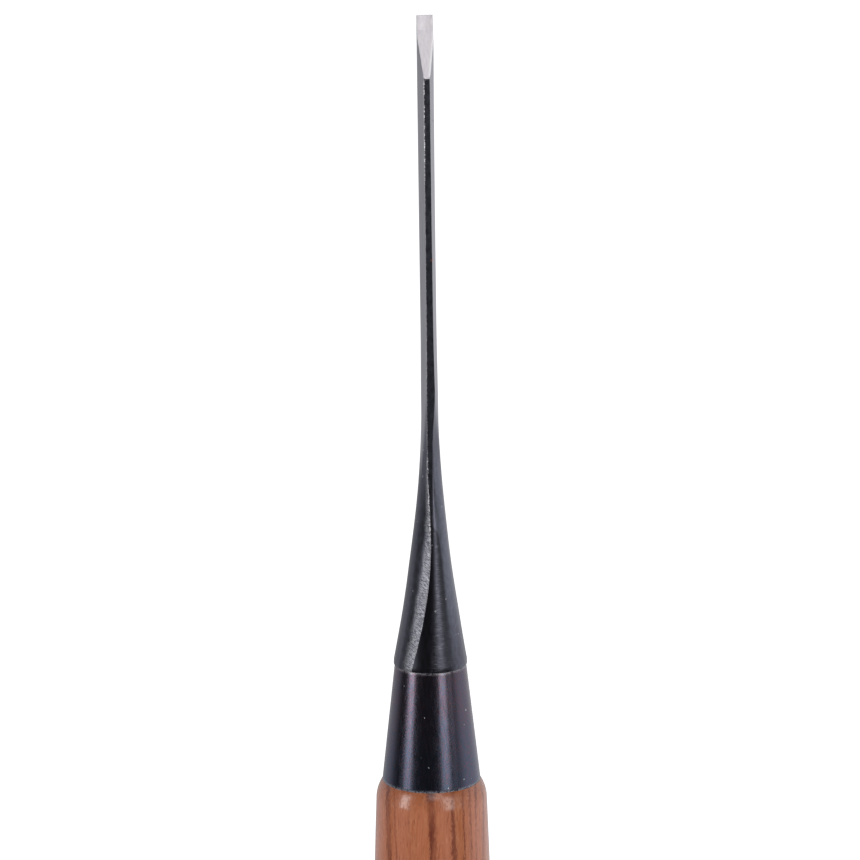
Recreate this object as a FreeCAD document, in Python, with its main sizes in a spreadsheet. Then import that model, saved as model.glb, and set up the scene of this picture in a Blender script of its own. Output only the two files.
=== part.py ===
import FreeCAD, Part
import math
import os
import Sketcher

os.makedirs("parts", exist_ok=True)
doc = FreeCAD.newDocument("parting_tool")
sheet = doc.addObject("Spreadsheet::Sheet", "Sizes")
next_row = 1


def size(name, value):
    """Write one named size in millimetres or degrees, or a formula of earlier ones."""
    global next_row
    sheet.set("A%d" % next_row, name)
    sheet.set("B%d" % next_row, str(value))
    sheet.setAlias("B%d" % next_row, name)
    next_row += 1


# The handle stands on its butt end, and heights are counted up from there.
size("handle_length", 115)
size("butt_face_radius", 8.6)
size("butt_round", 3.6)
size("butt_overhang", 0.9)
size("butt_height", 2.6)
size("above_hoop_radius", 13.1)
size("above_hoop_round", 1.2)
size("belly_bend", 1500)
size("shoulder_radius", 12.38)
size("shoulder_height", 4.6)

# The hoop round the struck end.
size("hoop_height", 8.6)
size("hoop_inner_radius", 11)
size("hoop_outer_radius", 13.9)
size("hoop_round", 1)

# The conical ferrule.
size("ferrule_length", 26.8)
size("ferrule_foot_radius", 10.96)
size("ferrule_top_radius", 7.95)
size("ferrule_wall", 1.9)
size("ferrule_edge", 0.2)

# The forged neck, from its round collar up to the foot of the blade.
size("collar_height", 0.9)
size("collar_radius", 8.2)
size("collar_round", 0.35)
size("neck_length", 57.4)
size("neck_half_width", 1.8)
size("neck_back", 2.3)
size("neck_side", -0.1)
size("neck_keel", 2.9)
size("neck_half_flat", 0.95)
size("flare_power", 1.6)
size("back_corner_turn", 42)
size("side_corner_turn", 100)
size("keel_corner_turn", 10)

# The V-section blade: upright sides behind, then two faces that slope in to the keel flat.
size("blade_length", 87.45)
size("root_rise", 20)
size("root_half_width", 1.69)
size("tip_half_width", 1.78)
size("blade_back", 2)
size("blade_depth", 4.8)
size("blade_land", 1.8)
size("root_half_flat", 0.76)
size("tip_half_flat", 0.64)
size("bevel_rise", 13.1)
size("edge_flat", 0.04)

# The thin layer of cutting steel on the back, with its scarfed foot and shallow hollow.
size("steel_thickness", 1.15)
size("scarf_rise", 2.4)
size("hollow_half_width", 1)
size("hollow_depth", 0.3)
size("hollow_from_tip", 15)
size("hollow_run_out", 4)

# The square tang, tapering down into the handle.
size("tang_length", 64)
size("tang_half_root", 3.5)
size("tang_half_end", 1.5)
size("tang_gap", 2)

# How far each cutting outline is carried past the metal it cuts, and how wide it cuts.
size("cut_margin", 3)
size("cut_width", 20)

# Sizes that follow from the ones above.
size("collar_foot", "=handle_length + ferrule_length")
size("flare_height", "=neck_length - collar_height")
size("root_height", "=neck_length + root_rise")
size("tip_height", "=neck_length + blade_length")
size("blade_keel", "=blade_depth - blade_back")
size("blade_side", "=blade_back - blade_land")
size("steel_line", "=blade_back - steel_thickness")
size("tang_slope", "=(tang_half_root - tang_half_end) / tang_length")
doc.recompute()


def expression(text):
    """Point the bare size names in a formula at the sheet."""
    words = []
    word = ""
    for letter in text + " ":
        if letter.isalpha() or letter == "_":
            word += letter
        else:
            words.append("Sizes." + word if "_" in word else word)
            words.append(letter)
            word = ""
    return "".join(words).strip()


def value_of(text):
    """Work out a formula of sizes as a plain number."""
    return float(sheet.evalExpression(expression(text)))


def new_body(name, foot):
    """Start a part whose own zero height stands at the given height."""
    body = doc.addObject("PartDesign::Body", name)
    body.Label = name
    body.setExpression("Placement.Base.z", expression(foot))
    return body


def new_sketch(body, name, plane, height="0"):
    """Lay a sketch on one of the body's own planes, moved along its normal."""
    sketch = body.newObject("Sketcher::SketchObject", name)
    for feature in body.Origin.OriginFeatures:
        if feature.Role == plane:
            sketch.AttachmentSupport = (feature, [""])
    sketch.MapMode = "FlatFace"
    sketch.setExpression("AttachmentOffset.Base.z", expression(height))
    return sketch


def arc_between(start, end, radius):
    """An arc that bulges to the right of the way from start to end."""
    chord = end - start
    across = FreeCAD.Vector(chord.y, -chord.x, 0).normalize()
    sagitta = radius - math.sqrt(radius * radius - chord.Length * chord.Length / 4)
    return Part.Arc(start, (start + end) / 2 + across * sagitta, end)


def draw_outline(sketch, corners, bends=None):
    """Close an outline through corners given anticlockwise, with a radius for each curved side."""
    bends = bends or {}
    points = [FreeCAD.Vector(value_of(x), value_of(y), 0) for x, y in corners]
    count = len(points)
    for side in range(count):
        start = points[side]
        end = points[(side + 1) % count]
        if side in bends:
            sketch.addGeometry(arc_between(start, end, value_of(bends[side])), False)
        else:
            sketch.addGeometry(Part.LineSegment(start, end), False)
    for side in range(count):
        follower = (side + 1) % count
        sketch.addConstraint(Sketcher.Constraint("Coincident", side, 2, follower, 1))
    for side, corner in enumerate(corners):
        for kind, text in (("DistanceX", corner[0]), ("DistanceY", corner[1])):
            row = sketch.addConstraint(Sketcher.Constraint(kind, -1, 1, side, 1, value_of(text)))
            sketch.setExpression("Constraints[%d]" % row, expression(text))
    for side, text in bends.items():
        row = sketch.addConstraint(Sketcher.Constraint("Radius", side, value_of(text)))
        sketch.setExpression("Constraints[%d]" % row, expression(text))
    return sketch


def revolve(body, name, corners, bends=None):
    """Turn an outline of radius and height once round the upright axis."""
    sketch = draw_outline(new_sketch(body, name + "_outline", "XZ_Plane"), corners, bends)
    feature = body.newObject("PartDesign::Revolution", name)
    feature.Profile = sketch
    feature.ReferenceAxis = (sketch, ["V_Axis"])
    feature.Angle = 360
    doc.recompute()


def loft(body, kind, name, sections, straight):
    """Run a solid, or a hollow, through sections that lie one above the other."""
    feature = body.newObject("PartDesign::" + kind, name)
    feature.Profile = sections[0]
    feature.Sections = sections[1:]
    feature.Ruled = straight
    doc.recompute()


def cut_across(body, name, corners, width):
    """Cut an outline of depth and height out of the body, evenly to both sides."""
    before = body.Shape.Volume
    sketch = draw_outline(new_sketch(body, name + "_outline", "YZ_Plane"), corners)
    feature = body.newObject("PartDesign::Pocket", name)
    feature.Profile = sketch
    feature.Type = "Length"
    feature.SideType = "Symmetric"
    feature.setExpression("Length", expression(width))
    doc.recompute()
    if body.Shape.Volume > before - 0.01:
        raise RuntimeError(name + " cut nothing away")


def square_section(body, name, height, half):
    """A square section centred on the axis."""
    minus = "-(" + half + ")"
    corners = [(half, half), (minus, half), (minus, minus), (half, minus)]
    return draw_outline(new_sketch(body, name, "XY_Plane", height), corners)


def blade_section(body, name, height, half_width, depths, half_flat):
    """The six-cornered V section: flat back, upright sides, sloping faces, keel flat."""
    back, side, keel = depths
    corners = [
        (half_width, back),
        ("-" + half_width, back),
        ("-" + half_width, side),
        ("-" + half_flat, "-" + keel),
        (half_flat, "-" + keel),
        (half_width, side),
    ]
    return draw_outline(new_sketch(body, name, "XY_Plane", height), corners)


def neck_section(body, name, roundness):
    """One section of the neck, between the V section at roundness 0 and the collar's circle at 1."""
    flare = "(%s ^ flare_power)" % roundness
    flat = "(1 - %s)" % roundness
    width = "(neck_half_width + (collar_radius - neck_half_width) * %s)" % flare
    back = "(neck_back + (collar_radius - neck_back) * %s)" % flare
    keel = "(neck_keel + (collar_radius - neck_keel) * %s)" % flare
    back_x = "%s * (%s + %s * sin(back_corner_turn))" % (width, flat, roundness)
    back_y = "%s * (%s + %s * cos(back_corner_turn))" % (back, flat, roundness)
    side_x = "%s * (%s + %s * sin(side_corner_turn))" % (width, flat, roundness)
    side_y = "neck_side * %s + %s * %s * cos(side_corner_turn)" % (flat, roundness, width)
    keel_x = "neck_half_flat * %s + %s * %s * sin(keel_corner_turn)" % (flat, roundness, width)
    keel_y = "-%s * (%s + %s * cos(keel_corner_turn))" % (keel, flat, roundness)
    corners = [
        (back_x, back_y),
        ("-(%s)" % back_x, back_y),
        ("-(%s)" % side_x, side_y),
        ("-(%s)" % keel_x, keel_y),
        (keel_x, keel_y),
        (side_x, side_y),
    ]
    bend = "%s / %s" % (width, roundness)
    height = "neck_length - flare_height * %s" % roundness
    sketch = new_sketch(body, name, "XY_Plane", height)
    return draw_outline(sketch, corners, {side: bend for side in range(6)})


def blade_blank(body):
    """The straight V-section bar between the root and the tip."""
    depths = ("blade_back", "blade_side", "blade_keel")
    root = blade_section(
        body, body.Name + "_root", "root_height", "root_half_width", depths, "root_half_flat"
    )
    tip = blade_section(
        body, body.Name + "_tip", "tip_height", "tip_half_width", depths, "tip_half_flat"
    )
    loft(body, "AdditiveLoft", body.Name + "_bar", [root, tip], True)
    return root


def cut_bevel(body):
    """Grind the single flat bevel, from the keel up to the straight cutting edge."""
    front = "-(blade_keel + cut_margin)"
    edge = "blade_back - edge_flat"
    drop = "tip_height - bevel_rise * (1 + cut_margin / (blade_depth - edge_flat))"
    above = "tip_height + cut_margin"
    bevel = [(front, drop), (edge, "tip_height"), (edge, above), (front, above)]
    cut_across(body, body.Name + "_bevel", bevel, "cut_width")


def scarf_line():
    """The two ends of the sloping joint at the foot of the steel, the outer end past the back."""
    inner = ("steel_line", "root_height + scarf_rise")
    outer = ("blade_back + cut_margin", "root_height - cut_margin * scarf_rise / steel_thickness")
    return inner, outer


def make_iron_body():
    """Soft iron, all one forging: V-section blade, flaring neck, collar and tang."""
    body = new_body("iron_body", "collar_foot")
    root = blade_blank(body)
    depths = ("neck_back", "neck_side", "neck_keel")
    start = blade_section(
        body, "neck_start", "neck_length", "neck_half_width", depths, "neck_half_flat"
    )
    sections = [neck_section(body, "neck_at_collar", "1")]
    sections.append(neck_section(body, "neck_low", "0.75"))
    sections.append(neck_section(body, "neck_middle", "0.5"))
    sections.append(neck_section(body, "neck_high", "0.25"))
    loft(body, "AdditiveLoft", "neck_flare", sections + [start, root], False)
    collar = [
        ("0", "0"),
        ("collar_radius - collar_round", "0"),
        ("collar_radius", "collar_round"),
        ("collar_radius", "collar_height"),
        ("0", "collar_height"),
    ]
    revolve(body, "collar", collar, {1: "collar_round"})
    tang_root = square_section(body, "tang_root_square", "0", "tang_half_root")
    tang_end = square_section(body, "tang_end_square", "-tang_length", "tang_half_end")
    loft(body, "AdditiveLoft", "tang", [tang_root, tang_end], True)
    inner, outer = scarf_line()
    above = "tip_height + cut_margin"
    seat = [inner, outer, (outer[0], above), (inner[0], above)]
    cut_across(body, "steel_seat", seat, "cut_width")
    cut_bevel(body)
    return body


def make_cutting_steel():
    """The hard steel layer that forms the back and the cutting edge."""
    body = new_body("cutting_steel", "collar_foot")
    blade_blank(body)
    inner, outer = scarf_line()
    front = "-(blade_keel + cut_margin)"
    above = "tip_height + cut_margin"
    below = "root_height - 2 * cut_margin * scarf_rise"
    iron_side = [
        (front, below),
        (outer[0], below),
        outer,
        inner,
        (inner[0], above),
        (front, above),
    ]
    cut_across(body, "iron_side", iron_side, "cut_width")
    cut_bevel(body)
    floor = "blade_back - hollow_depth"
    open_air = "blade_back + cut_margin"
    low = "root_height + 2 * scarf_rise"
    high = "tip_height - hollow_from_tip"
    hollow = [
        (floor, "%s + hollow_run_out" % low),
        ("blade_back", low),
        (open_air, low),
        (open_air, high),
        ("blade_back", high),
        (floor, "%s - hollow_run_out" % high),
    ]
    cut_across(body, "back_hollow", hollow, "2 * hollow_half_width")
    return body


def make_ferrule():
    """The conical steel ferrule that keeps the wood from splitting at the neck."""
    body = new_body("ferrule", "handle_length")
    outline = [
        ("ferrule_foot_radius - ferrule_wall", "0"),
        ("ferrule_foot_radius - ferrule_edge", "0"),
        ("ferrule_foot_radius", "ferrule_edge"),
        ("ferrule_top_radius", "ferrule_length - ferrule_edge"),
        ("ferrule_top_radius - ferrule_edge", "ferrule_length"),
        ("ferrule_top_radius - ferrule_wall", "ferrule_length"),
    ]
    revolve(body, "ferrule_cone", outline)
    return body


def make_handle():
    """The turned wooden handle: a cone for the ferrule, a tang hole and a seat for the hoop."""
    body = new_body("handle", "0")
    hoop_top = "butt_height + hoop_height"
    outline = [
        ("0", "0"),
        ("butt_face_radius", "0"),
        ("hoop_inner_radius + butt_overhang", "butt_height - butt_overhang"),
        ("hoop_inner_radius", "butt_height"),
        ("hoop_inner_radius", hoop_top),
        ("above_hoop_radius - above_hoop_round", hoop_top),
        ("above_hoop_radius", hoop_top + " + above_hoop_round"),
        ("shoulder_radius", "handle_length - shoulder_height"),
        ("ferrule_foot_radius", "handle_length"),
        ("ferrule_foot_radius - ferrule_wall", "handle_length"),
        ("ferrule_top_radius - ferrule_wall", "collar_foot"),
        ("0", "collar_foot"),
    ]
    step = "(shoulder_radius - ferrule_foot_radius)"
    shoulder_bend = "(%s * %s + shoulder_height * shoulder_height) / 2 / %s" % (step, step, step)
    bends = {
        1: "butt_round",
        2: "butt_overhang",
        5: "above_hoop_round",
        6: "belly_bend",
        7: shoulder_bend,
    }
    revolve(body, "handle_turning", outline, bends)
    before = body.Shape.Volume
    mouth = square_section(body, "tang_hole_mouth", "collar_foot", "tang_half_root")
    depth = "collar_foot - tang_length - tang_gap"
    foot = square_section(body, "tang_hole_foot", depth, "tang_half_end - tang_gap * tang_slope")
    loft(body, "SubtractiveLoft", "tang_hole", [mouth, foot], True)
    if body.Shape.Volume > before - 1:
        raise RuntimeError("the tang hole cut nothing away")
    return body


def make_hoop():
    """The iron hoop that keeps the struck end from splitting."""
    body = new_body("hoop", "butt_height")
    outline = [
        ("hoop_inner_radius", "0"),
        ("hoop_outer_radius - hoop_round", "0"),
        ("hoop_outer_radius", "hoop_round"),
        ("hoop_outer_radius", "hoop_height - hoop_round"),
        ("hoop_outer_radius - hoop_round", "hoop_height"),
        ("hoop_inner_radius", "hoop_height"),
    ]
    revolve(body, "hoop_ring", outline, {1: "hoop_round", 3: "hoop_round"})
    return body


nodes = [make_handle(), make_hoop(), make_ferrule(), make_iron_body(), make_cutting_steel()]
doc.recompute()

for thing in doc.Objects:
    if "Invalid" in thing.State or "Error" in thing.State:
        raise RuntimeError(thing.Name + " did not recompute")

for node in nodes:
    shape = node.Shape
    if shape.isNull() or not shape.isValid() or len(shape.Solids) != 1:
        raise RuntimeError(node.Label + " is not one valid solid")
    shape.exportStep("parts/%s.step" % node.Label)
    print(node.Label, round(shape.Volume, 1), "mm3", shape.BoundBox)
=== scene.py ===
import math

import bmesh
import bpy
import numpy as np
from mathutils import Matrix, Vector


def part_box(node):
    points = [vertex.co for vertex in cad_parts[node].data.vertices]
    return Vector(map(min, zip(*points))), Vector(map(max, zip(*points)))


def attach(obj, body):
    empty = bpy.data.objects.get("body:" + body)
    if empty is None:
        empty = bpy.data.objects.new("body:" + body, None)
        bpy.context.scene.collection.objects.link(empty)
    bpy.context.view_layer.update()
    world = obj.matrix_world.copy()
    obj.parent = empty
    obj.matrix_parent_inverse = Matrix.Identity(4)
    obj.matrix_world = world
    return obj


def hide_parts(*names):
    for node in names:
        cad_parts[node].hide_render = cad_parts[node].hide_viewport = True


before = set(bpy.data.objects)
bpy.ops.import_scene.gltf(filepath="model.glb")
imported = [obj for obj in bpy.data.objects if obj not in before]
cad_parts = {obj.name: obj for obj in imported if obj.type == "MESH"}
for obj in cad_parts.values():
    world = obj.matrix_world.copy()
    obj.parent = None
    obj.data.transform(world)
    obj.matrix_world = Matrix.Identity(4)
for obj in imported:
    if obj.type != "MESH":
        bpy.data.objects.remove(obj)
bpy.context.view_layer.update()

# ---------------------------------------------------------------------------------------------
# The forging: blade, neck and collar in one piece of soft iron, left with its black forge scale,
# then ground bare on the blade's sloping faces and on the bevel, and belted beside the ridge of
# its neck, where the bright strip is partly a painted highlight. The tang below the collar is
# driven into the oak.

# Sizes are in mm, and heights in this section count up from the foot of the collar.
MM = 0.001
collar_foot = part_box("ferrule")[1][2] / MM
edge_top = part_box("cutting_steel")[1][2] / MM
steel_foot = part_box("cutting_steel")[0][2] / MM

neck_length = 57.4
neck_half_width = 1.8
neck_back = 2.3
neck_side = -0.1
neck_keel = 2.9
neck_half_flat = 0.95
collar_height = 0.9
collar_radius = 8.2
collar_round = 0.2
root_height = steel_foot - collar_foot
tip_height = edge_top - collar_foot
bevel_rise = 13.1
blade_depth = 4.8
blade_back = 2.0
blade_side = 0.2
steel_thickness = 1.15
blade_keel = blade_depth - blade_back
steel_line = blade_back - steel_thickness
scarf_rise = 2.4
heel_height = tip_height - bevel_rise
iron_tip = heel_height + bevel_rise * (blade_keel + steel_line) / blade_depth


def between(value, start, stop):
    """Smooth step from 0 at start to 1 at stop: 3 s^2 - 2 s^3, where s is the share of the way."""
    s = np.clip((value - start) / (stop - start), 0, 1)
    return s * s * (3 - 2 * s)


def blade_sizes(height):
    """The share of the neck's flare at each height, and the V section's half width, back, side
    corner, keel depth and half keel flat there.

    The neck's sizes grow as share^1.6 towards the collar, the blade widens as the cube of the
    way along it, and a smooth step joins the two over the blade's root.
    """
    share = np.clip((neck_length - height) / (neck_length - collar_height), 0, 1)
    flare = share**1.6
    along = np.clip((height - root_height) / (tip_height - root_height), 0, 1)
    join = between(height, neck_length, root_height)
    half_width = neck_half_width + (collar_radius - neck_half_width) * flare
    half_width = half_width + join * (-0.11 + 0.1 * along**3)
    back = neck_back + (collar_radius - neck_back) * flare + (blade_back - neck_back) * join
    side = neck_side * (1 - flare) + (blade_side - neck_side) * join
    keel = neck_keel + (collar_radius - neck_keel) * flare + (blade_keel - neck_keel) * join
    half_flat = neck_half_flat - join * (0.19 + 0.12 * along)
    return share, half_width, back, side, keel, half_flat


def sideways(height):
    """How far the hand-forged blade stands to the right of the axis: up to 0.42 mm at the neck."""
    below = 0.16 * between(height, 0, 14) + 0.26 * between(height, 20, 42)
    above = 0.12 + 0.3 * np.clip(1 - (height - neck_length) / 75, 0, 1) ** 1.5
    return np.where(height < neck_length, below, above)


corner_points = 5


def rounded_rings(corners, radii, spread):
    """Outlines with rounded corners, one for each row.

    At each corner P, A and C lie one setback away along its two sides, and the corner is the
    parabola (1-u)^2 A + 2u(1-u) P + u^2 C. Between corners the points lie on the straight side
    at the shares in spread.
    """
    before = np.roll(corners, 1, axis=1) - corners
    after = np.roll(corners, -1, axis=1) - corners
    length_before = np.maximum(np.linalg.norm(before, axis=2, keepdims=True), 1e-9)
    length_after = np.maximum(np.linalg.norm(after, axis=2, keepdims=True), 1e-9)
    setback = np.minimum(radii[..., None], 0.45 * np.minimum(length_before, length_after))
    start = corners + before / length_before * setback
    stop = corners + after / length_after * setback
    u = np.linspace(0, 1, corner_points)[:, None]
    corner = (
        (1 - u) ** 2 * start[:, :, None]
        + 2 * u * (1 - u) * corners[:, :, None]
        + u**2 * stop[:, :, None]
    )
    v = np.asarray(spread)[:, None]
    straight = (1 - v) * stop[:, :, None] + v * np.roll(start, -1, axis=1)[:, :, None]
    rings = np.concatenate([corner, straight], axis=2)
    return rings.reshape(len(corners), -1, 2)


def skin(name, rings, marks=None, looped=False):
    """A closed surface through rings of points in mm: quads between neighbours, and a fan on a
    middle point at each end, or the last ring joined to the first when looped. Each mark is a
    named value at every point, which the material reads."""
    rows, columns = rings.shape[:2]
    points = rings.reshape(-1, 3)
    i = np.arange(rows if looped else rows - 1)[:, None]
    j = np.arange(columns)[None, :]
    right = (j + 1) % columns
    up = (i + 1) % rows
    quads = np.stack(
        np.broadcast_arrays(i * columns + j, i * columns + right, up * columns + right, up * columns + j),
        axis=-1,
    ).reshape(-1, 4)
    faces = quads.tolist()
    if not looped:
        points = np.concatenate([points, rings[[0, -1]].mean(axis=1)])
        foot, top = len(points) - 2, len(points) - 1
        ring = np.arange(columns)
        nxt = (ring + 1) % columns
        last = (rows - 1) * columns
        faces += np.stack([nxt, ring, np.full(columns, foot)], axis=-1).tolist()
        faces += np.stack([last + ring, last + nxt, np.full(columns, top)], axis=-1).tolist()
    mesh = bpy.data.meshes.new(name)
    mesh.from_pydata(points * MM, [], faces)
    for mark, values in (marks or {}).items():
        grid = np.broadcast_to(values, (rows, columns)).astype(np.float32)
        ends = np.empty(0, np.float32) if looped else grid[[0, -1]].mean(axis=1)
        values = np.append(grid.reshape(-1), ends)
        mesh.attributes.new(mark, "FLOAT", "POINT").data.foreach_set("value", values)
    work = bmesh.new()
    work.from_mesh(mesh)
    bmesh.ops.remove_doubles(work, verts=work.verts, dist=0.0005 * MM)
    work.to_mesh(mesh)
    work.free()
    mesh.shade_smooth()
    mesh.set_sharp_from_angle(angle=math.radians(38))
    piece = bpy.data.objects.new(name, mesh)
    bpy.context.scene.collection.objects.link(piece)
    return piece


flat_shares = [0.02, 0.05, 0.1, 0.17, 0.25, 0.33, 0.42, 0.5, 0.58, 0.67, 0.75, 0.83, 0.9, 0.95, 0.98]

ridge_swing = math.radians(36)
swing_height = 28
left_drawn_round = 0.93
right_drawn_round = 0.97
least_land = 0.002


def forging_rings(heights):
    """Rings of the forging: a six-cornered V section, with its keel corners swung to the left in
    the neck, then drawn in or out towards the ellipse through its half width, back and keel.

    A point P at ellipse radius q becomes P ((1 - m) + m / q), and m is larger on the right
    flank, which is hammered round sooner than the left one.
    """
    share, half_width, back, side, keel, half_flat = blade_sizes(heights)
    flat_turn = np.arctan2(half_flat, keel)
    neck = heights < root_height
    ridge = flat_turn * between(heights, 18, 45)
    ridge = ridge + ridge_swing * np.clip(1 - heights / swing_height, 0, 1) ** 1.25
    mix = left_drawn_round * share**1.5
    left_reach = keel * np.cos(ridge) ** -(1 - mix)
    slight_turn = math.radians(1) + math.radians(4.5) * between(heights, 12, 28)
    right_turn = slight_turn + (flat_turn - slight_turn) * between(heights, 50, 64)
    right_reach = keel * np.cos(right_turn) ** -(1 - mix)
    front = -keel + np.maximum(heights - heel_height, 0) * blade_depth / bevel_rise
    climb = np.clip((front + keel) / (side + keel), 0, 1)
    on_slope = half_flat + (half_width - half_flat) * climb
    on_slope = np.minimum(on_slope, half_width - least_land)
    left_x = np.where(neck, -left_reach * np.sin(ridge), -on_slope)
    left_y = np.where(neck, -left_reach * np.cos(ridge), front)
    right_x = np.where(neck, right_reach * np.sin(right_turn), on_slope)
    right_y = np.where(neck, -right_reach * np.cos(right_turn), front)
    side = np.maximum(side, front + least_land)
    scarf = np.clip((heights - root_height) / scarf_rise, 0, 1)
    back = back - (blade_back - steel_line) * scarf
    corners = np.stack(
        [
            np.stack([half_width, back], axis=-1),
            np.stack([-half_width, back], axis=-1),
            np.stack([-half_width, side], axis=-1),
            np.stack([left_x, left_y], axis=-1),
            np.stack([right_x, right_y], axis=-1),
            np.stack([half_width, side], axis=-1),
        ],
        axis=1,
    )
    back_round = np.where(heights > root_height, 0.01, 0.06 + 4 * share)
    side_round = 0.05 + 4 * share
    keel_round = 0.05 + 3.5 * share**2.2
    ridge_round = 0.05 + 0.25 * share
    radii = [back_round, back_round, side_round, ridge_round, keel_round, side_round]
    rings = rounded_rings(corners, np.stack(radii, axis=1), flat_shares)
    corner_number = np.arange(rings.shape[1]) / rings.shape[1] * len(radii)
    to_right = np.clip((corner_number - 3.25) / 0.75, 0, 1)
    right_mix = right_drawn_round * between(heights, 54, 30)[:, None]
    mix = mix[:, None] + (right_mix - mix[:, None]) * to_right[None, :]
    height_axis = np.where(rings[..., 1] < 0, keel[:, None], back[:, None])
    reach = np.hypot(rings[..., 0] / half_width[:, None], rings[..., 1] / height_axis)
    draw = (1 - mix) + mix / np.maximum(reach, 1e-6)
    rings = rings * draw[..., None]
    foot = np.clip(heights / collar_round, 0, 1)
    foot_reach = 1 - collar_round * (1 - np.sqrt(1 - (1 - foot) ** 2)) / collar_radius
    rings = rings * foot_reach[:, None, None]
    rings[..., 0] += sideways(heights)[:, None]
    z = np.broadcast_to((heights + collar_foot)[:, None, None], rings.shape[:2] + (1,))
    return np.concatenate([rings, z], axis=-1)


heights = np.concatenate(
    [
        collar_round * (1 - np.cos(np.linspace(0, math.pi / 2, 6)))[:-1],
        np.linspace(collar_round, neck_length, 150)[:-1],
        np.linspace(neck_length, root_height, 30)[:-1],
        np.linspace(root_height, root_height + scarf_rise, 6)[:-1],
        np.linspace(root_height + scarf_rise, heel_height - 0.8, 50)[:-1],
        np.linspace(heel_height - 0.8, heel_height - 0.02, 8),
        [heel_height, heel_height + 0.03],
        np.linspace(heel_height + 0.3, iron_tip - 0.003, 36),
    ]
)
rings = forging_rings(heights)

# Where each finish lies, worked out on the same grid as the shape. A side is a corner's columns
# and then as many as it has shares, and place runs from 0 at its corner's end to 1.
columns_per_side = corner_points + len(flat_shares)
column = np.arange(rings.shape[1])
side_number = column // columns_per_side
place = (column % columns_per_side - corner_points + 1) / (len(flat_shares) + 1)
back_side, left_upright, left_face, keel_side, right_face = range(5)
on_keel = (side_number == keel_side) & (place > 0) | (column == right_face * columns_per_side)
from_keel = np.select(
    [side_number == left_face, side_number == right_face, on_keel],
    [1 - np.clip(place, 0, 1), np.clip(place, 0, 1), 0.0],
    1.0,
)
on_left = np.isin(side_number, [left_upright, left_face])
run_out_start = 58 - (10 + 7 * on_left) * from_keel[None, :]
run_out = between(heights[:, None], run_out_start, run_out_start + 9)
ground = run_out * ~on_keel[None, :] * (side_number != back_side)[None, :]
heel_chip = 0.65
chipped_heel = heel_height - heel_chip * (1 - np.clip(place, 0, 1)) ** 2
bevel = on_keel[None, :] * (heights[:, None] >= chipped_heel[None, :]) * 1.0

# How far each point is from the neck's ridge, measured round the section. The belted strip, bare
# metal with a painted highlight, is counted in its own widths to the left of the ridge, and the
# band of painted shade in its own widths to the right. A far value keeps either of them off the
# rest of the section.
far = 9.0
mid_corner = corner_points // 2
ridge_column = keel_side * columns_per_side + mid_corner
step = np.linalg.norm(np.diff(rings, axis=1), axis=2)
run = np.concatenate([np.zeros((len(rings), 1)), np.cumsum(step, axis=1)], axis=1)
from_ridge = run - run[:, ridge_column : ridge_column + 1]
strip_width = 0.5 + 0.4 * between(heights, 50, 42) + 2.1 * between(heights, 44, 12)
strip = np.where(from_ridge <= 0, -from_ridge / strip_width[:, None], far)
strip = strip + 3 * between(heights, 45, 57)[:, None]
shade_width = 0.6 + 3.4 * np.clip(1 - heights / 40, 0, 1) ** 2
shade = np.where(from_ridge >= 0, from_ridge / shade_width[:, None], -far)
shade = np.where(side_number[None, :] <= right_face, shade, far)
shade = shade + np.where(shade > 0, far * between(heights, 30, 40)[:, None], 0)

# Painted light: the right flank's scale is painted lighter, and painted white glints sit on the
# left arris and on the bevel's right one.
painted_light_start = 2.2 * shade_width[:, None]
painted_light_reach = between(heights, 52, 42) * between(heights, 2, 18)
painted_light = between(from_ridge, painted_light_start, painted_light_start + 0.5) * painted_light_reach[:, None]
below_bevel = between(heights, heel_height - 26, heel_height - 16)
near_ends = np.maximum(between(heights, 50, 44), below_bevel)
arris_reach = (0.3 + 0.7 * near_ends) * between(heights, 26, 34) * (heights < heel_height - 0.5)
glint_width = 0.15
left_arris_glints = np.exp(-((from_ridge / glint_width) ** 2)) * arris_reach[:, None]
right_arris = right_face * columns_per_side + mid_corner
from_burr = run - run[:, right_arris : right_arris + 1]
burr_glint_reach = between(heights, heel_height + 0.2, heel_height + 0.8)
burr_glint_reach = burr_glint_reach * between(heights, iron_tip + 1, iron_tip - 3)
burr_glint_width = 0.2
burr_glint = np.exp(-(((from_burr + 0.08) / burr_glint_width) ** 2)) * burr_glint_reach[:, None]
forging = skin(
    "forging",
    rings,
    {
        "ground": ground,
        "bevel": bevel,
        "strip": strip,
        "shade": shade,
        "painted_light": painted_light,
        "arris": left_arris_glints,
        "burr_glint": burr_glint,
    },
)
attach(forging, "root")
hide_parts("iron_body")


def colour(text):
    """A hex sRGB colour as linear red, green, blue and alpha."""
    parts = [int(text[k : k + 2], 16) / 255 for k in (0, 2, 4)]
    linear = [p / 12.92 if p <= 0.04045 else ((p + 0.055) / 1.055) ** 2.4 for p in parts]
    return (*linear, 1.0)


def node(tree, kind, inputs, out=0, **settings):
    """Add a shader node with its settings, set or link its inputs by place or by name, and
    give back one of its outputs."""
    made = tree.nodes.new("ShaderNode" + kind)
    for name, value in settings.items():
        setattr(made, name, value)
    for socket, value in inputs.items() if isinstance(inputs, dict) else enumerate(inputs):
        if isinstance(value, bpy.types.NodeSocket):
            tree.links.new(value, made.inputs[socket])
        else:
            made.inputs[socket].default_value = colour(value) if isinstance(value, str) else value
    return made.outputs[out] if len(made.outputs) else None


def new_material(name):
    """A material with an empty tree, and that tree."""
    material = bpy.data.materials.new(name)
    material.use_nodes = True
    material.node_tree.nodes.clear()
    return material, material.node_tree


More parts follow.
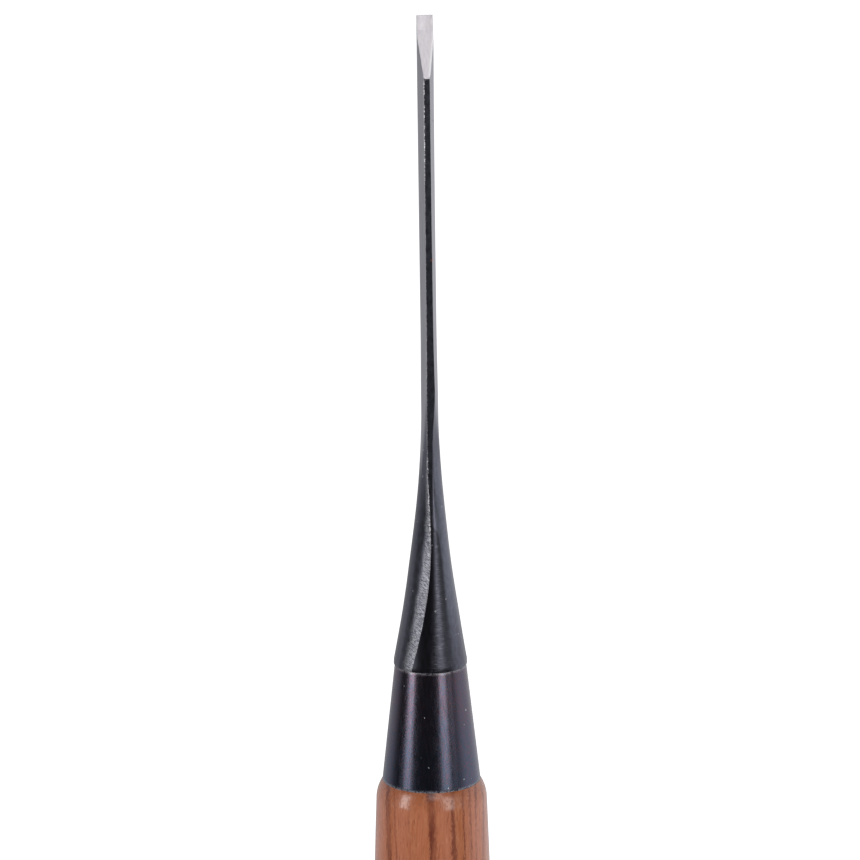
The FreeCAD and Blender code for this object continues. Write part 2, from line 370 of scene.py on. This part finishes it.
def streaks(tree, looks):
    """Noise patterns on object coordinates: each has its lean about Y in degrees and its grain
    size across, across and along the tool in mm, so a long size draws it out into streaks."""
    made = {}
    spot = node(tree, "TexCoord", [], 3)
    for name, (lean, size, detail) in looks.items():
        placed = node(
            tree,
            "Mapping",
            {"Vector": spot, "Rotation": (0, math.radians(lean), 0), "Scale": [s * MM for s in size]},
            vector_type="TEXTURE",
        )
        made[name] = node(tree, "TexNoise", {"Vector": placed, "Scale": 1.0, "Detail": detail})
    return made


# Forged iron under black scale (magnetite), belt-ground in places. It gives a half-glossy near
# black, light grey bare faces with fine lengthwise streaks, and a pale bevel, the brightest of all.
# Belt marks are drawn about twice as coarse as they are, so that they show. Light and shade are
# painted on too: a lighter right flank, a highlight on the belted strip, shade bands beside the
# ridge, and white glints.
material, tree = new_material("forged_iron_black_scale_and_belt_ground_faces")
grain = streaks(
    tree,
    {
        "belt": (30, (0.8, 0.8, 0.13), 1.5),
        "cross": (4, (1.3, 1.3, 0.16), 1.0),
        "lengthwise": (0, (0.16, 0.16, 9.0), 2.0),
        "honing": (0, (0.5, 0.5, 14.0), 2.0),
        "mottle": (0, (0.7, 0.7, 1.4), 3.0),
        "speck": (0, (0.3, 0.3, 0.3), 1.0),
        "wander": (0, (1.5, 1.5, 3.0), 1.0),
    },
)
mark = {
    name: node(tree, "Attribute", [], 2, attribute_name=name)
    for name in ("ground", "bevel", "strip", "shade", "painted_light", "arris", "burr_glint")
}
smooth = {"interpolation_type": "SMOOTHSTEP"}
scale_tone = node(tree, "MapRange", [grain["mottle"], 0.35, 0.65, 0, 1])
dark_colour = node(tree, "Mix", {0: scale_tone, 6: "5b5c66", 7: "676975"}, 2, data_type="RGBA")
# Painted light: a lighter copy of the scale's colour on the right flank.
painted_light_colour = node(tree, "Mix", {0: scale_tone, 6: "6b6d78", 7: "797c88"}, 2, data_type="RGBA")
scale_and_painted_light = node(tree, "Mix", {0: mark["painted_light"], 6: dark_colour, 7: painted_light_colour}, 2, data_type="RGBA")
# The belted strip left of the ridge: bare belt-ground metal, with a painted highlight in its colour.
ragged = node(tree, "Math", [grain["wander"], 0.5, mark["strip"]], operation="MULTIPLY_ADD")
strip_share = node(tree, "MapRange", [ragged, 0.6, 1.5, 1, 0], **smooth)
belt_marks = node(tree, "MapRange", [grain["belt"], 0.44, 0.58, 0.15, 1.0])
belt_strip_and_painted_highlight = node(tree, "Math", [strip_share, belt_marks], operation="MULTIPLY")
with_strip = node(tree, "Mix", {0: belt_strip_and_painted_highlight, 6: scale_and_painted_light, 7: "c8c8d0"}, 2, data_type="RGBA")

# Painted shade right of the ridge: a dark band, a softer one, and a faint second dark band.
dark_band = node(tree, "MapRange", [mark["shade"], 0.6, 1.3, 1, 0], **smooth)
soft_band = node(tree, "MapRange", [mark["shade"], 2.1, 2.7, 0.8, 0], **smooth)
both_bands = node(tree, "Math", [dark_band, soft_band], operation="MAXIMUM")
second_band = node(tree, "MapRange", [mark["shade"], 1.5, 1.9, 0, 0.15], **smooth)
all_bands = node(tree, "Math", [second_band, soft_band, both_bands], operation="MULTIPLY_ADD")
past_ridge = node(tree, "MapRange", [mark["shade"], -0.05, 0.0, 0, 1])
shade_share = node(tree, "Math", [all_bands, past_ridge], operation="MULTIPLY")
with_shade = node(tree, "Mix", {0: shade_share, 6: with_strip, 7: "42424a"}, 2, data_type="RGBA")
rub_in = node(tree, "MapRange", [mark["shade"], 0.9, 1.2, 0, 1])
rub_out = node(tree, "MapRange", [mark["shade"], 1.5, 2.1, 1, 0.25])
rub_place = node(tree, "Math", [rub_in, rub_out], operation="MULTIPLY")
rub_marks = node(tree, "MapRange", [grain["cross"], 0.48, 0.7, 0, 0.35])
rub = node(tree, "Math", [rub_place, rub_marks], operation="MULTIPLY")
with_rub = node(tree, "Mix", {0: rub, 6: with_shade, 7: "9a9ba6"}, 2, data_type="RGBA")
ground_tone = node(tree, "MapRange", [grain["lengthwise"], 0.35, 0.65, 0, 1])
ground_colour = node(tree, "Mix", {0: ground_tone, 6: "a7a7ad", 7: "b7b7bd"}, 2, data_type="RGBA")
with_ground = node(tree, "Mix", {0: mark["ground"], 6: with_rub, 7: ground_colour}, 2, data_type="RGBA")
honed_tone = node(tree, "MapRange", [grain["honing"], 0.35, 0.65, 0, 1])
bevel_colour = node(tree, "Mix", {0: honed_tone, 6: "bcb8bd", 7: "c7c3c7"}, 2, data_type="RGBA")
with_bevel = node(tree, "Mix", {0: mark["bevel"], 6: with_ground, 7: bevel_colour}, 2, data_type="RGBA")
# Painted highlights: white dots along the left arris and a white line on the bevel's right arris.
glints = node(tree, "MapRange", [grain["speck"], 0.5, 0.56, 0, 1])
dotted = node(tree, "Math", [mark["arris"], glints], operation="MULTIPLY")
glint = node(tree, "Math", [dotted, mark["burr_glint"]], operation="MAXIMUM")
with_glints = node(tree, "Mix", {0: glint, 6: with_bevel, 7: "f2f1f3"}, 2, data_type="RGBA")

# A rusty chip on the keel and a dark nick on the right face, each with its place and size in mm.
spot = node(tree, "TexCoord", [], 3)
flaws = [((0.95, -2.8, 233.8), 0.4, "b98472"), ((1.85, -0.7, 264.0), 0.5, "5c5c62")]
flawed = with_glints
for centre, reach, flaw_colour in flaws:
    away = node(tree, "VectorMath", [spot, [c * MM for c in centre]], 1, operation="DISTANCE")
    share = node(tree, "MapRange", [away, 0.5 * reach * MM, reach * MM, 1, 0])
    flawed = node(tree, "Mix", {0: share, 6: flawed, 7: flaw_colour}, 2, data_type="RGBA")
ding_spacing = 3.0
cells = node(tree, "TexVoronoi", {"Vector": spot, "Scale": 1 / (ding_spacing * MM)})
dings = node(tree, "Math", [cells, 0.07], operation="LESS_THAN")
dinged = node(tree, "Mix", {0: dings, 6: flawed, 7: "a8a8ae"}, 2, data_type="RGBA")

# The belted strip is the roughest, then the ground faces. The bevel and the scale are smoother.
scale_rough = node(tree, "MapRange", [grain["mottle"], 0.3, 0.7, 0.29, 0.37])
strip_rough = node(tree, "Mix", {0: strip_share, 2: scale_rough, 3: 0.5})
ground_rough = node(tree, "Mix", {0: mark["ground"], 2: strip_rough, 3: 0.36})
roughness = node(tree, "Mix", {0: mark["bevel"], 2: ground_rough, 3: 0.3})
scratched = node(tree, "Math", [belt_strip_and_painted_highlight, rub], operation="ADD")
raised = node(tree, "Math", [grain["speck"], 0.4, scratched], operation="MULTIPLY_ADD")
relief = node(tree, "Bump", {"Height": raised, "Strength": 0.6, "Distance": 0.04 * MM})

# The glints are painted highlights: pale points that aren't metal, so that they show from every
# side.
metal = node(tree, "Math", [1.0, glint], operation="SUBTRACT")
shader = node(
    tree,
    "BsdfPrincipled",
    {"Base Color": dinged, "Metallic": metal, "Roughness": roughness, "Normal": relief},
)
node(tree, "OutputMaterial", {"Surface": shader})
forging.data.materials.append(material)

# ---------------------------------------------------------------------------------------------
# The cutting steel: a thin layer of high-carbon steel forge-welded to the back of the blade and
# scarfed into the iron at its foot. Its back is flat, with a shallow hollow for easy honing.

steel_heights = np.concatenate(
    [
        np.linspace(root_height + 0.02, root_height + scarf_rise, 10)[:-1],
        np.linspace(root_height + scarf_rise, iron_tip, 60)[:-1],
        [iron_tip, iron_tip + 0.03],
        np.linspace(iron_tip + 0.3, tip_height - 0.3, 10),
        [tip_height - 0.05, tip_height - 0.02, tip_height],
    ]
)
half_width = blade_sizes(steel_heights)[1]
scarf = np.clip((steel_heights - root_height) / scarf_rise, 0, 1)
front = blade_back - (blade_back - steel_line) * scarf
bevel_front = -blade_keel + (steel_heights - heel_height) * blade_depth / bevel_rise
edge_land = 0.006
front = np.minimum(np.maximum(front, bevel_front), blade_back - edge_land)
corners = np.stack(
    [
        np.stack([half_width, np.full_like(front, blade_back)], axis=-1),
        np.stack([-half_width, np.full_like(front, blade_back)], axis=-1),
        np.stack([-half_width, front], axis=-1),
        np.stack([half_width, front], axis=-1),
    ],
    axis=1,
)
radii = np.full((len(steel_heights), 4), 0.01)
radii[:, :2] = np.minimum(0.04, 0.4 * (blade_back - front))[:, None]
rings = rounded_rings(corners, radii, np.linspace(0.02, 0.98, 25))
hollow_foot = root_height + 2 * scarf_rise
hollow_top = tip_height - 15
hollow_half_width = 1.0
hollow_depth = 0.3
ends = between(steel_heights, hollow_foot, hollow_foot + 6)
ends = ends * between(steel_heights, hollow_top, hollow_top - 4)
trough = np.clip(1 - (rings[..., 0] / hollow_half_width) ** 2, 0, 1) * ends[:, None]
on_back = rings[..., 1] > blade_back - 0.001
rings[..., 1] -= hollow_depth * trough * on_back
rings[..., 0] += sideways(steel_heights)[:, None]
z = np.broadcast_to((steel_heights + collar_foot)[:, None, None], rings.shape[:2] + (1,))
rings = np.concatenate([rings, z], axis=-1)
on_bevel = (rings[..., 1] < front[:, None] + 0.005) * (steel_heights >= iron_tip)[:, None]
steel = skin("cutting_steel_layer", rings, {"bevel": on_bevel})
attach(steel, "root")
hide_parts("cutting_steel")

# High-carbon steel, hardened, ground lengthwise and honed across its back. It is brighter and
# smoother than the iron: fine lengthwise grinding streaks on the sides, a soft gleam on the back.
material, tree = new_material("honed_high_carbon_steel")
grain = streaks(
    tree,
    {
        "lengthwise": (0, (0.16, 0.16, 9.0), 2.0),
        "honing": (0, (0.5, 0.5, 14.0), 2.0),
        "cloud": (0, (1.5, 1.5, 4.0), 3.0),
    },
)
bevel_mark = node(tree, "Attribute", [], 2, attribute_name="bevel")
tone = node(tree, "MapRange", [grain["lengthwise"], 0.35, 0.65, 0, 1])
side_colour = node(tree, "Mix", {0: tone, 6: "adacb1", 7: "c1c0c5"}, 2, data_type="RGBA")
honed_tone = node(tree, "MapRange", [grain["honing"], 0.35, 0.65, 0, 1])
bevel_colour = node(tree, "Mix", {0: honed_tone, 6: "c5c1c6", 7: "d0ccd0"}, 2, data_type="RGBA")
face = node(tree, "Mix", {0: bevel_mark, 6: side_colour, 7: bevel_colour}, 2, data_type="RGBA")
roughness = node(tree, "MapRange", [grain["cloud"], 0.3, 0.7, 0.27, 0.36])
relief = node(tree, "Bump", {"Height": grain["lengthwise"], "Strength": 0.3, "Distance": 0.01 * MM})
shader = node(
    tree,
    "BsdfPrincipled",
    {"Base Color": face, "Metallic": 1.0, "Roughness": roughness, "Normal": relief},
)
node(tree, "OutputMaterial", {"Surface": shader})
steel.data.materials.append(material)

# ---------------------------------------------------------------------------------------------
# The ferrule: a cone rolled from sheet steel, brazed, polished and blued until it is almost
# black. The forging's collar drives it down over the cone at the top of the handle.

ferrule_low, ferrule_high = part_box("ferrule")
ferrule_foot, ferrule_top = ferrule_low[2] / MM, ferrule_high[2] / MM
ferrule_foot_radius = ferrule_high[0] / MM
ferrule_top_radius = 7.95
ferrule_wall = 1.9


def turned(name, profile, turns=192, marks=None, looped=True):
    """A surface of revolution: the point (r, z) of the profile goes to (r sin a, -r cos a, z)."""
    angle = np.linspace(0, 2 * math.pi, turns, endpoint=False)[None, :]
    r, z = profile[:, :1], profile[:, 1:]
    rings = np.stack([r * np.sin(angle), -r * np.cos(angle), z + 0 * angle], axis=-1)
    return skin(name, rings, marks, looped)


cone = np.array(
    [
        [ferrule_foot_radius - ferrule_wall, ferrule_foot],
        [ferrule_foot_radius, ferrule_foot],
        [ferrule_top_radius, ferrule_top],
        [ferrule_top_radius - ferrule_wall, ferrule_top],
    ]
)
edge_rounds = np.array([[0.1, 0.16, 0.12, 0.1]])
profile = rounded_rings(cone[None], edge_rounds, flat_shares)[0]
r, z = profile[:, 0], profile[:, 1]
cone_r = np.interp(z, [ferrule_foot, ferrule_top], [ferrule_foot_radius, ferrule_top_radius])
off_edge = np.minimum(0.7 * (z - ferrule_foot), ferrule_top - z)
worn_width = 0.15
worn = np.exp(-((off_edge / worn_width) ** 2)) * (r > cone_r - 0.3)
ferrule = turned("ferrule_cone", profile, marks={"worn": worn[:, None]})
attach(ferrule, "root")
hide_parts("ferrule")

# Polished steel, heat-blued and oiled: a thin oxide film over bright metal. It is almost black
# where it mirrors the dark, and shows purple, turning blue towards the foot, in its highlights,
# with a fine coloured sparkle. The edges are rubbed bare in places, and dust clings to the oil.
material, tree = new_material("heat_blued_polished_steel")
grain = streaks(
    tree,
    {
        "red": (0, (0.22, 0.22, 0.22), 1.0),
        "blue": (90, (0.24, 0.24, 0.24), 1.0),
        "film": (0, (2.5, 2.5, 5.0), 3.0),
        "rub": (0, (0.5, 0.5, 0.5), 2.0),
        "polish": (0, (0.3, 0.3, 12.0), 2.0),
    },
)
spot = node(tree, "TexCoord", [], 3)
height = node(tree, "SeparateXYZ", [spot], 2)
rise = node(tree, "MapRange", [height, ferrule_foot * MM, ferrule_top * MM, 0, 1])
wavy = node(tree, "MapRange", [grain["film"], 0.3, 0.7, -0.3, 0.3])
hue = node(tree, "Math", [rise, wavy], operation="ADD", use_clamp=True)
film = node(tree, "Mix", {0: hue, 6: "526373", 7: "605f67"}, 2, data_type="RGBA")
red_share = node(tree, "MapRange", [grain["red"], 0.5, 0.62, 0, 0.5])
with_red = node(tree, "Mix", {0: red_share, 6: film, 7: "985a6a"}, 2, data_type="RGBA")
blue_share = node(tree, "MapRange", [grain["blue"], 0.54, 0.7, 0, 0.6])
with_blue = node(tree, "Mix", {0: blue_share, 6: with_red, 7: "4a5a88"}, 2, data_type="RGBA")
worn_mark = node(tree, "Attribute", [], 2, attribute_name="worn")
rubbed = node(tree, "MapRange", [grain["rub"], 0.36, 0.52, 0, 1])
bare = node(tree, "Math", [worn_mark, rubbed], operation="MULTIPLY")
with_wear = node(tree, "Mix", {0: bare, 6: with_blue, 7: "98989c"}, 2, data_type="RGBA")
dust_spacing = 2.4
cells = node(tree, "TexVoronoi", {"Vector": spot, "Scale": 1 / (dust_spacing * MM)})
dust_size = node(tree, "MapRange", [grain["film"], 0.35, 0.65, 0.04, 0.095])
dust = node(tree, "Math", [cells, dust_size], operation="LESS_THAN")
dusted = node(tree, "Mix", {0: dust, 6: with_wear, 7: "a2a5ae"}, 2, data_type="RGBA")
dry = node(tree, "Math", [bare, dust], operation="MAXIMUM")
metal = node(tree, "Math", [1.0, dry], operation="SUBTRACT")
roughness = node(tree, "MapRange", [grain["polish"], 0.3, 0.7, 0.2, 0.29])
relief = node(tree, "Bump", {"Height": grain["polish"], "Strength": 0.25, "Distance": 0.008 * MM})
shader = node(
    tree,
    "BsdfPrincipled",
    {"Base Color": dusted, "Metallic": metal, "Roughness": roughness, "Normal": relief},
)
node(tree, "OutputMaterial", {"Surface": shader})
ferrule.data.materials.append(material)

# ---------------------------------------------------------------------------------------------
# The handle: red oak turned between centres to a slight belly, with a cone for the ferrule at
# its top and its struck end mushroomed a little over the hoop, then given a thin clear finish.

handle_length = ferrule_foot
shoulder_height = 4.6
shoulder_radius = 12.38
belly_foot = 12.4
belly_foot_radius = 13.1
belly_top = handle_length - shoulder_height
belly_bend = 1500
hoop_seat = 11.0
butt_flat_radius = 8.6
butt_rise = 1.7
lip_round = 0.9
step_round = 1.2

# The belly is a flat parabola with the bend's radius at its middle, and the shoulder an arc.
t = np.linspace(0, 1, 60)
belly_height = belly_top - belly_foot
swell = belly_height**2 / (2 * belly_bend) * t * (1 - t)
belly_radius = belly_foot_radius + (shoulder_radius - belly_foot_radius) * t + swell
belly = np.stack([belly_radius, belly_foot + belly_height * t], axis=-1)
drop = shoulder_radius - ferrule_foot_radius
shoulder_bend = (shoulder_height**2 + drop**2) / (2 * drop)
climb = shoulder_height * np.linspace(0, 1, 16)[1:]
shoulder = np.stack(
    [shoulder_radius - shoulder_bend + np.sqrt(shoulder_bend**2 - climb**2), belly_top + climb], axis=-1
)
q = np.linspace(0, math.pi / 2, 8)
lip_radius = hoop_seat + lip_round
butt_radius = butt_flat_radius + (lip_radius - butt_flat_radius) * np.sin(q)
butt = np.stack([butt_radius, butt_rise * (1 - np.cos(q))], axis=-1)
lip = np.stack([hoop_seat + lip_round * np.cos(q), butt_rise + lip_round * np.sin(q)], axis=-1)[1:]
step_middle = belly_foot_radius - step_round
ledge = np.stack([step_middle + step_round * np.sin(q), belly_foot - step_round * np.cos(q)], axis=-1)[:-1]
seat_foot, seat_top = ferrule_foot_radius - ferrule_wall, ferrule_top_radius - ferrule_wall
profile = np.concatenate(
    [
        [[0.5, 0.0], [2.5, 0.0], [4.5, 0.0], [6.5, 0.0], [8.0, 0.0]],
        butt,
        lip,
        [[hoop_seat, 6.9], [hoop_seat, belly_foot - step_round]],
        ledge,
        belly,
        shoulder,
        [
            [seat_foot + 0.9, handle_length],
            [seat_foot, handle_length],
            [(seat_foot + seat_top) / 2, (handle_length + collar_foot) / 2],
            [seat_top, collar_foot],
            [0.5, collar_foot],
        ],
    ]
)
handle = turned("oak_handle", profile, looped=False)
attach(handle, "root")
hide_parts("handle")

# Japanese red oak, turned, sanded and wiped with a clear finish. Warm orange brown, with dark
# red-brown late wood in upright layers that show as feathered streaks on the front and as broad
# figure on the sides, fine fibres, short open pores and small pale rays.
material, tree = new_material("turned_red_oak_clear_finish")
grain = streaks(
    tree,
    {
        "bend": (0, (9.0, 9.0, 60.0), 2.0),
        "feather": (0, (0.3, 0.3, 0.9), 3.0),
        "board": (0, (5.0, 5.0, 90.0), 3.0),
        "fibre": (0, (0.28, 0.28, 5.0), 3.0),
        "pore": (0, (0.3, 0.3, 2.6), 1.0),
        "ray": (0, (0.5, 0.5, 1.8), 2.0),
        "late": (0, (1.6, 1.6, 14.0), 3.0),
    },
)
spot = node(tree, "TexCoord", [], 3)
across = node(tree, "SeparateXYZ", [spot], 0)
bent = node(tree, "MapRange", [grain["bend"], 0, 1, -2.2 * MM, 2.2 * MM])
ragged = node(tree, "MapRange", [grain["feather"], 0, 1, -0.6 * MM, 0.6 * MM])
shifted = node(tree, "Math", [across, bent], operation="ADD")
layer_place = node(tree, "Math", [shifted, ragged], operation="ADD")
# Each late-wood layer: its place across the handle, its half thickness, both in mm, and how dark.
layers = [
    (-10.3, 0.5, 0.8),
    (-8.6, 0.2, 0.35),
    (-5.4, 0.2, 0.2),
    (-0.4, 0.7, 1.0),
    (4.0, 0.35, 0.75),
    (6.2, 0.15, 0.6),
    (7.5, 0.2, 0.55),
    (8.8, 0.2, 0.75),
    (10.6, 0.25, 0.6),
]
late_wood = 0.0
for layer_middle, half_thickness, darkness in layers:
    beside = node(tree, "Math", [layer_place, layer_middle * MM], operation="SUBTRACT")
    gap = node(tree, "Math", [beside], operation="ABSOLUTE")
    edge = half_thickness * MM
    band = node(tree, "MapRange", [gap, 0.35 * edge, 1.7 * edge, darkness, 0], **smooth)
    late_wood = node(tree, "Math", [band, late_wood], operation="MAXIMUM")
patchy = node(tree, "MapRange", [grain["late"], 0.36, 0.56, 0.45, 1.0])
late_wood = node(tree, "Math", [late_wood, patchy], operation="MULTIPLY")
board_tone = node(tree, "MapRange", [grain["board"], 0.35, 0.65, 0, 1])
plain = node(tree, "Mix", {0: board_tone, 6: "9c542b", 7: "a75f41"}, 2, data_type="RGBA")
fibre_tone = node(tree, "MapRange", [grain["fibre"], 0.3, 0.7, 0, 0.45])
fibrous = node(tree, "Mix", {0: fibre_tone, 6: plain, 7: "bb7a57"}, 2, data_type="RGBA")
rays = node(tree, "MapRange", [grain["ray"], 0.58, 0.72, 0, 0.25])
with_rays = node(tree, "Mix", {0: rays, 6: fibrous, 7: "c88d6a"}, 2, data_type="RGBA")
streaked = node(tree, "Mix", {0: late_wood, 6: with_rays, 7: "632413"}, 2, data_type="RGBA")
pores = node(tree, "MapRange", [grain["pore"], 0.6, 0.7, 0, 1])
pore_shade = node(tree, "Math", [pores, 0.35], operation="MULTIPLY")
pored = node(tree, "Mix", {0: pore_shade, 6: streaked, 7: "5c2817"}, 2, data_type="RGBA")
roughness = node(tree, "MapRange", [pores, 0, 1, 0.42, 0.6])
hollows = node(tree, "Math", [grain["fibre"], 0.3, pores], operation="MULTIPLY_ADD")

# The coat's IOR is higher than a real finish's 1.5 or so, which makes its highlights brighter,
# and the wood under it has next to no gleam of its own.
relief = node(tree, "Bump", {"Height": hollows, "Strength": 0.5, "Distance": 0.04 * MM}, invert=True)
shader = node(
    tree,
    "BsdfPrincipled",
    {
        "Base Color": pored,
        "Roughness": roughness,
        "IOR": 1.5,
        "Specular IOR Level": 0.1,
        "Coat Weight": 1.0,
        "Coat IOR": 1.65,
        "Coat Roughness": 0.2,
        "Coat Normal": relief,
        "Normal": relief,
    },
)
node(tree, "OutputMaterial", {"Surface": shader})
handle.data.materials.append(material)

# ---------------------------------------------------------------------------------------------
# The hoop: a ring of forged iron driven on the struck end, which keeps the wood from splitting
# under a mallet. It is blackened, lightly hammered, and rubbed bright along its edges.

hoop_low, hoop_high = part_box("hoop")
hoop_foot, hoop_top, hoop_radius = hoop_low[2] / MM, hoop_high[2] / MM, hoop_high[0] / MM
ring = np.array(
    [
        [hoop_seat, hoop_foot],
        [hoop_radius, hoop_foot],
        [hoop_radius, hoop_top],
        [hoop_seat, hoop_top],
    ]
)
edge_rounds = np.array([[0.2, 1.2, 1.2, 0.2]])
profile = rounded_rings(ring[None], edge_rounds, flat_shares)[0]
turns = 256
angle = np.linspace(0, 2 * math.pi, turns, endpoint=False)[None, :]
r, z = profile[:, :1], profile[:, 1:]

# Hammer blows: waves round and along the ring, of unlike lengths, that only ever cut inwards.
blows = np.sin(11 * angle + 0.8 * z) * np.sin(0.9 * z + 3 * np.sin(2 * angle))
blows = blows + np.sin(7 * angle - 1.1 * z + 1)
blow_depth = 0.045
on_outside = between(r, hoop_seat + 1, hoop_seat + 2.5)
dented = r - blow_depth * (blows + 2) * on_outside
hoop_rings = np.stack([dented * np.sin(angle), -dented * np.cos(angle), z + 0 * angle], axis=-1)
from_middle = np.abs(z - (hoop_foot + hoop_top) / 2) / ((hoop_top - hoop_foot) / 2)
worn = between(from_middle, 0.78, 0.95) * (r > hoop_seat + 1.5)
hoop = skin("driven_hoop", hoop_rings, {"worn": worn}, looped=True)
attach(hoop, "root")
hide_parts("hoop")

# Iron blackened in oil: near-black, a little uneven, satin. Bare grey iron shows on the edges.
material, tree = new_material("oil_blackened_forged_iron")
grain = streaks(
    tree,
    {
        "mottle": (0, (1.6, 1.6, 1.6), 4.0),
        "rub": (0, (0.6, 0.6, 0.5), 3.0),
        "pit": (0, (0.3, 0.3, 0.3), 2.0),
    },
)
worn_mark = node(tree, "Attribute", [], 2, attribute_name="worn")
tone = node(tree, "MapRange", [grain["mottle"], 0.35, 0.65, 0, 1])
black = node(tree, "Mix", {0: tone, 6: "3e3e44", 7: "565660"}, 2, data_type="RGBA")
rubbed = node(tree, "MapRange", [grain["rub"], 0.38, 0.6, 0, 1])
bare = node(tree, "Math", [worn_mark, rubbed], operation="MULTIPLY")
worn_colour = node(tree, "Mix", {0: bare, 6: black, 7: "a3a3a8"}, 2, data_type="RGBA")
roughness = node(tree, "MapRange", [grain["mottle"], 0.3, 0.7, 0.36, 0.5])
relief = node(tree, "Bump", {"Height": grain["pit"], "Strength": 0.4, "Distance": 0.03 * MM})
shader = node(
    tree,
    "BsdfPrincipled",
    {"Base Color": worn_colour, "Metallic": 1.0, "Roughness": roughness, "Normal": relief},
)
node(tree, "OutputMaterial", {"Surface": shader})
hoop.data.materials.append(material)

# ---------------------------------------------------------------------------------------------
# The studio: a pale floor and backdrop, soft lamps round the tool, and the camera. The tool
# stands on its butt, and turns are counted from the camera's side.

view_turn = math.radians(-4.6)


def place_from(turn, elevation, distance, height):
    """A point at a distance from the tool's axis, at a turn and an elevation in degrees."""
    a, e = view_turn + math.radians(turn), math.radians(elevation)
    level = distance * math.cos(e)
    return Vector((level * math.sin(a), -level * math.cos(a), height + distance * math.sin(e)))


def stage_surface(name, points, faces, hex_colour):
    """A plain surface that isn't part of the object. It glows evenly, but less close to the
    tool's foot: a painted contact shadow, where the tool would keep the light off a floor."""
    mesh = bpy.data.meshes.new(name)
    mesh.from_pydata(points, [], faces)
    thing = bpy.data.objects.new(name, mesh)
    bpy.context.scene.collection.objects.link(thing)
    paint, tree = new_material(name + "_paint")
    away = node(tree, "VectorMath", [node(tree, "TexCoord", [], 3)], 1, operation="LENGTH")
    # Painted shadow: the glow is lower close to the tool's foot.
    glow = node(tree, "MapRange", [away, 12 * MM, 29 * MM, 0.45, 1.0], **smooth)
    shader = node(
        tree,
        "BsdfPrincipled",
        {
            "Base Color": hex_colour,
            "Roughness": 0.9,
            "Specular IOR Level": 0.0,
            "Emission Color": "ffffff",
            "Emission Strength": glow,
        },
    )
    node(tree, "OutputMaterial", {"Surface": shader})
    mesh.materials.append(paint)
    return thing


half = 12.0
corners = [(-half, -half, 0), (half, -half, 0), (half, half, 0), (-half, half, 0)]
floor = stage_surface("floor", corners, [(0, 1, 2, 3)], "f4f3f1")
floor.visible_glossy = False

# The backdrop is a tall drum round the floor. Only the camera sees it, so it lights nothing.
drum_sides = 64
around = np.linspace(0, 2 * math.pi, drum_sides, endpoint=False)
ring_points = np.stack([0.97 * half * np.cos(around), 0.97 * half * np.sin(around), 0 * around], axis=-1)
drum = np.concatenate([ring_points + [0, 0, -0.5], ring_points + [0, 0, 14]])
this_side = np.arange(drum_sides)
next_side = (this_side + 1) % drum_sides
walls = np.stack([next_side, this_side, this_side + drum_sides, next_side + drum_sides], axis=-1)
lid = list(range(2 * drum_sides - 1, drum_sides - 1, -1))
backdrop = stage_surface("backdrop", drum.tolist(), walls.tolist() + [lid], "f4f3f1")
backdrop.visible_diffuse = backdrop.visible_glossy = backdrop.visible_shadow = False
backdrop.visible_transmission = False


def lamp(name, turn, elevation, distance, width, length, power, height=0.19):
    """A soft rectangular lamp that faces the tool."""
    light = bpy.data.lights.new(name, "AREA")
    light.shape = "RECTANGLE"
    light.size = width
    light.size_y = length
    light.energy = power
    thing = bpy.data.objects.new(name, light)
    bpy.context.scene.collection.objects.link(thing)
    thing.location = place_from(turn, elevation, distance, height)
    aim = Vector((0, 0, height)) - thing.location
    thing.rotation_euler = aim.to_track_quat("-Z", "Y").to_euler()
    thing.visible_camera = False


lamp("left_strip", -59, 8, 0.8, 0.26, 0.55, 1.9)
lamp("right_strip", 36, 8, 0.8, 0.30, 0.55, 1.45)
lamp("right_faint_strip", 60, 8, 0.8, 0.14, 0.55, 0.24)
lamp("front_top_softbox", 9, 34, 0.9, 0.5, 0.30, 0.8)

# The air of the studio: dark on the camera's side, brighter behind the tool to both sides, and
# below, where the tool would mirror the pale floor close to its foot.
world = bpy.data.worlds.new("studio_air")
bpy.context.scene.world = world
world.use_nodes = True
world.node_tree.nodes.clear()
tree = world.node_tree
direction = node(tree, "TexCoord", [], 0)
air = 0.038

# Each glow: its turn and elevation in degrees, the cosines where it starts and is full, its level.
glows = [(125, 0, 0.42, 0.9, 0.76), (-142, 0, 0.62, 0.97, 0.5), (0, -90, 0.45, 0.95, 0.4)]
for turn, height_turn, start, full, level in glows:
    toward = place_from(turn, height_turn, 1, 0)
    nearness = node(tree, "VectorMath", [direction, toward], 1, operation="DOT_PRODUCT")
    glow = node(tree, "MapRange", [nearness, start, full, 0, level], **smooth)
    air = node(tree, "Math", [glow, air], operation="ADD")
background = node(tree, "Background", {"Color": "fbfbff", "Strength": air})
node(tree, "OutputWorld", {"Surface": background})

bpy.context.scene.view_settings.view_transform = "Standard"

# The camera looks down at the tool from in front and a little to its left, with a long lens. It
# is placed so that the middle of the handle's top lies at shown_right and shown_down from the
# picture's centre, in picture widths.
lens_width = 5.23256
camera_data = bpy.data.cameras.new("camera")
camera_data.sensor_width = 36
camera_data.lens = lens_width * camera_data.sensor_width
camera_data.clip_end = 50
camera = bpy.data.objects.new("camera", camera_data)
bpy.context.scene.collection.objects.link(camera)
elevation = math.radians(14.28)
lean = math.radians(0.51)
ahead = np.array([-math.sin(view_turn), math.cos(view_turn), 0])
forward = ahead * math.cos(elevation) + np.array([0, 0, -math.sin(elevation)])
level = np.array([math.cos(view_turn), math.sin(view_turn), 0])
upright = np.cross(level, forward)
right = level * math.cos(lean) - upright * math.sin(lean)
up = upright * math.cos(lean) + level * math.sin(lean)
depth = 1.0061
shoulder_middle = np.array([0, 0, handle_length * MM])
shown_right, shown_down = 0.00174, 0.40419
offset = (right * shown_right - up * shown_down) * depth / lens_width
where = shoulder_middle - offset - forward * depth
camera.matrix_world = Matrix(np.stack([right, up, -forward, where], axis=1).tolist() + [[0, 0, 0, 1]])
bpy.context.scene.camera = camera
